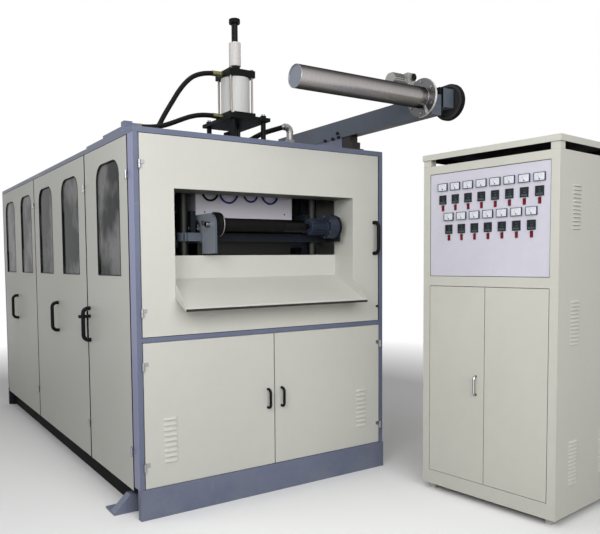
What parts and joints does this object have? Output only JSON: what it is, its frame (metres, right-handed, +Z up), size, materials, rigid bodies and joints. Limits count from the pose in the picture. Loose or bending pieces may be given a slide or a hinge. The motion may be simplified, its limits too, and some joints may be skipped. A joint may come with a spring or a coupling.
{
  "type": "thermoforming machine",
  "caption": "Enclosed sheet-fed cup forming machine with product scoop, roof cylinder, scrap winder and a separate heater control cabinet.",
  "frame": {"origin": "middle of the machine's footprint on the floor, under the middle cross member", "axes": "+Z up, the front with the scoop faces -Y, +X to the right seen from the front"},
  "size_m": [2.543, 4.7557, 2.936],
  "materials": {
    "frame_paint": "semi-gloss enamel",
    "panel_paint": "satin powder coat",
    "cabinet_paint": "satin powder coat",
    "chrome": "polished",
    "bright_steel": "turned",
    "aluminium": "satin",
    "motor_paint": "gloss enamel",
    "white_paint": "satin enamel",
    "white_nylon": "matt",
    "black_steel": "blackened",
    "black_rubber": "matt",
    "blue_hose": "satin",
    "instrument_paint": "satin",
    "meter_frame": "gloss",
    "black_plastic": "matt",
    "red_plastic": "gloss"
  },
  "bodies": {
    "root": {"base_frame": "frame_paint", "upper_frame": "frame_paint", "roof_panel": "frame_paint", "fixed_panels": "panel_paint", "hinge_pins": "chrome", "press_columns": "bright_steel", "upper_platen": "frame_paint", "cooling_box": "white_paint", "water_hoses": "blue_hose", "lift_cylinder": "frame_paint", "heater_banks": "aluminium", "chain_rails": "frame_paint", "chain_motor": "motor_paint", "roller_bracket": "frame_paint", "roller_motor": "motor_paint", "cylinder_plate": "black_steel", "cylinder_tube": "aluminium", "cylinder_heads": "black_steel", "stroke_sleeve": "white_nylon", "air_hoses": "black_rubber", "air_fittings": "bright_steel", "winder_arm": "frame_paint", "winder_motor": "aluminium", "winder_belt": "black_rubber", "cabinet_shell": "cabinet_paint", "cabinet_cap": "cabinet_paint", "instrument_panel": "instrument_paint", "panel_meters": "meter_frame", "temperature_controllers": "black_plastic", "contactor_plate": "aluminium"},
    "front_door": {"front_door": "panel_paint"},
    "lower_door_left": {"lower_door_left": "panel_paint"},
    "lower_door_right": {"lower_door_right": "panel_paint"},
    "side_door_front": {"side_door_front": "panel_paint"},
    "side_door_middle": {"side_door_middle": "panel_paint"},
    "side_door_rear": {"side_door_rear": "panel_paint"},
    "lower_platen": {"lower_platen": "aluminium"},
    "plug_rod": {"plug_rod": "black_steel"},
    "pull_roller": {"pull_roller": "black_rubber"},
    "winder_roller": {"winder_roller": "bright_steel"},
    "winder_pinion": {"winder_pinion": "black_rubber"},
    "chain_shaft_front": {"chain_shaft_front": "bright_steel"},
    "chain_shaft_rear": {"chain_shaft_rear": "bright_steel"},
    "cabinet_door_left": {"cabinet_door_left": "cabinet_paint"},
    "cabinet_door_right": {"cabinet_door_right": "cabinet_paint"},
    "heater_switch_1": {"heater_switch_1": "red_plastic"},
    "heater_switch_2": {"heater_switch_2": "red_plastic"},
    "heater_switch_3": {"heater_switch_3": "red_plastic"},
    "heater_switch_4": {"heater_switch_4": "red_plastic"},
    "heater_switch_5": {"heater_switch_5": "red_plastic"},
    "heater_switch_6": {"heater_switch_6": "red_plastic"},
    "heater_switch_7": {"heater_switch_7": "red_plastic"},
    "heater_switch_8": {"heater_switch_8": "red_plastic"},
    "heater_switch_9": {"heater_switch_9": "red_plastic"},
    "heater_switch_10": {"heater_switch_10": "red_plastic"},
    "heater_switch_11": {"heater_switch_11": "red_plastic"},
    "heater_switch_12": {"heater_switch_12": "red_plastic"},
    "heater_switch_13": {"heater_switch_13": "red_plastic"},
    "heater_switch_14": {"heater_switch_14": "red_plastic"},
    "heater_switch_15": {"heater_switch_15": "red_plastic"}
  },
  "joints": [
    {"name": "front_door_hinge", "type": "hinge", "parent": "root", "child": "front_door", "pos_m": [-0.84, -1.75, 1.6], "axis": [0, 0, -1], "range_deg": [0, 110]},
    {"name": "lower_door_left_hinge", "type": "hinge", "parent": "root", "child": "lower_door_left", "pos_m": [-0.84, -1.75, 0.56], "axis": [0, 0, -1], "range_deg": [0, 110]},
    {"name": "lower_door_right_hinge", "type": "hinge", "parent": "root", "child": "lower_door_right", "pos_m": [0.84, -1.75, 0.56], "axis": [0, 0, 1], "range_deg": [0, 50]},
    {"name": "side_door_front_hinge", "type": "hinge", "parent": "root", "child": "side_door_front", "pos_m": [-0.88, -1.654, 1.1], "axis": [0, 0, 1], "range_deg": [0, 110]},
    {"name": "side_door_middle_hinge", "type": "hinge", "parent": "root", "child": "side_door_middle", "pos_m": [-0.88, -0.904, 1.1], "axis": [0, 0, 1], "range_deg": [0, 90]},
    {"name": "side_door_rear_hinge", "type": "hinge", "parent": "root", "child": "side_door_rear", "pos_m": [-0.88, 0.446, 1.1], "axis": [0, 0, 1], "range_deg": [0, 90]},
    {"name": "lower_platen_lift", "type": "slide", "parent": "root", "child": "lower_platen", "axis": [0, 0, 1], "range_m": [0, 0.115]},
    {"name": "plug_stroke", "type": "slide", "parent": "root", "child": "plug_rod", "axis": [0, 0, -1], "range_m": [0, 0.118]},
    {"name": "pull_roller_spin", "type": "hinge", "parent": "root", "child": "pull_roller", "pos_m": [0, -1.635, 1.605], "axis": [1, 0, 0], "continuous": true},
    {"name": "winder_spin", "type": "hinge", "parent": "root", "child": "winder_roller", "pos_m": [0, -2.179, 2.343], "axis": [1, 0, 0], "continuous": true},
    {"name": "winder_pinion_spin", "type": "hinge", "parent": "root", "child": "winder_pinion", "pos_m": [0.87, -1.99, 2.409], "axis": [1, 0, 0], "continuous": true},
    {"name": "chain_front_spin", "type": "hinge", "parent": "root", "child": "chain_shaft_front", "pos_m": [0, -1.478, 1.588], "axis": [1, 0, 0], "continuous": true},
    {"name": "chain_rear_spin", "type": "hinge", "parent": "root", "child": "chain_shaft_rear", "pos_m": [0, 1.56, 1.588], "axis": [1, 0, 0], "continuous": true},
    {"name": "cabinet_door_left_hinge", "type": "hinge", "parent": "root", "child": "cabinet_door_left", "pos_m": [0.80058, -2.24072, 0.68], "axis": [0, 0, -1], "range_deg": [0, 90]},
    {"name": "cabinet_door_right_hinge", "type": "hinge", "parent": "root", "child": "cabinet_door_right", "pos_m": [0.87733, -2.94153, 0.68], "axis": [0, 0, 1], "range_deg": [0, 110]},
    {"name": "heater_switch_1_press", "type": "hinge", "parent": "root", "child": "heater_switch_1", "pos_m": [0.80885, -2.31627, 1.684], "axis": [-0.1089, 0.9941, 0], "range_deg": [0, 18]},
    {"name": "heater_switch_2_press", "type": "hinge", "parent": "root", "child": "heater_switch_2", "pos_m": [0.81789, -2.39878, 1.684], "axis": [-0.1089, 0.9941, 0], "range_deg": [0, 18]},
    {"name": "heater_switch_3_press", "type": "hinge", "parent": "root", "child": "heater_switch_3", "pos_m": [0.82692, -2.48129, 1.684], "axis": [-0.1089, 0.9941, 0], "range_deg": [0, 18]},
    {"name": "heater_switch_4_press", "type": "hinge", "parent": "root", "child": "heater_switch_4", "pos_m": [0.83596, -2.56379, 1.684], "axis": [-0.1089, 0.9941, 0], "range_deg": [0, 18]},
    {"name": "heater_switch_5_press", "type": "hinge", "parent": "root", "child": "heater_switch_5", "pos_m": [0.84499, -2.6463, 1.684], "axis": [-0.1089, 0.9941, 0], "range_deg": [0, 18]},
    {"name": "heater_switch_6_press", "type": "hinge", "parent": "root", "child": "heater_switch_6", "pos_m": [0.85403, -2.72881, 1.684], "axis": [-0.1089, 0.9941, 0], "range_deg": [0, 18]},
    {"name": "heater_switch_7_press", "type": "hinge", "parent": "root", "child": "heater_switch_7", "pos_m": [0.86307, -2.81131, 1.684], "axis": [-0.1089, 0.9941, 0], "range_deg": [0, 18]},
    {"name": "heater_switch_8_press", "type": "hinge", "parent": "root", "child": "heater_switch_8", "pos_m": [0.8721, -2.89382, 1.684], "axis": [-0.1089, 0.9941, 0], "range_deg": [0, 18]},
    {"name": "heater_switch_9_press", "type": "hinge", "parent": "root", "child": "heater_switch_9", "pos_m": [0.81337, -2.35753, 1.513], "axis": [-0.1089, 0.9941, 0], "range_deg": [0, 18]},
    {"name": "heater_switch_10_press", "type": "hinge", "parent": "root", "child": "heater_switch_10", "pos_m": [0.8224, -2.44003, 1.513], "axis": [-0.1089, 0.9941, 0], "range_deg": [0, 18]},
    {"name": "heater_switch_11_press", "type": "hinge", "parent": "root", "child": "heater_switch_11", "pos_m": [0.83144, -2.52254, 1.513], "axis": [-0.1089, 0.9941, 0], "range_deg": [0, 18]},
    {"name": "heater_switch_12_press", "type": "hinge", "parent": "root", "child": "heater_switch_12", "pos_m": [0.84048, -2.60505, 1.513], "axis": [-0.1089, 0.9941, 0], "range_deg": [0, 18]},
    {"name": "heater_switch_13_press", "type": "hinge", "parent": "root", "child": "heater_switch_13", "pos_m": [0.84951, -2.68755, 1.513], "axis": [-0.1089, 0.9941, 0], "range_deg": [0, 18]},
    {"name": "heater_switch_14_press", "type": "hinge", "parent": "root", "child": "heater_switch_14", "pos_m": [0.85855, -2.77006, 1.513], "axis": [-0.1089, 0.9941, 0], "range_deg": [0, 18]},
    {"name": "heater_switch_15_press", "type": "hinge", "parent": "root", "child": "heater_switch_15", "pos_m": [0.86758, -2.85257, 1.513], "axis": [-0.1089, 0.9941, 0], "range_deg": [0, 18]}
  ],
  "couplings": [
    {"joint": "winder_pinion_spin", "follows": "winder_spin", "ratio": 3.7},
    {"joint": "chain_front_spin", "follows": "chain_rear_spin", "ratio": 1}
  ]
}
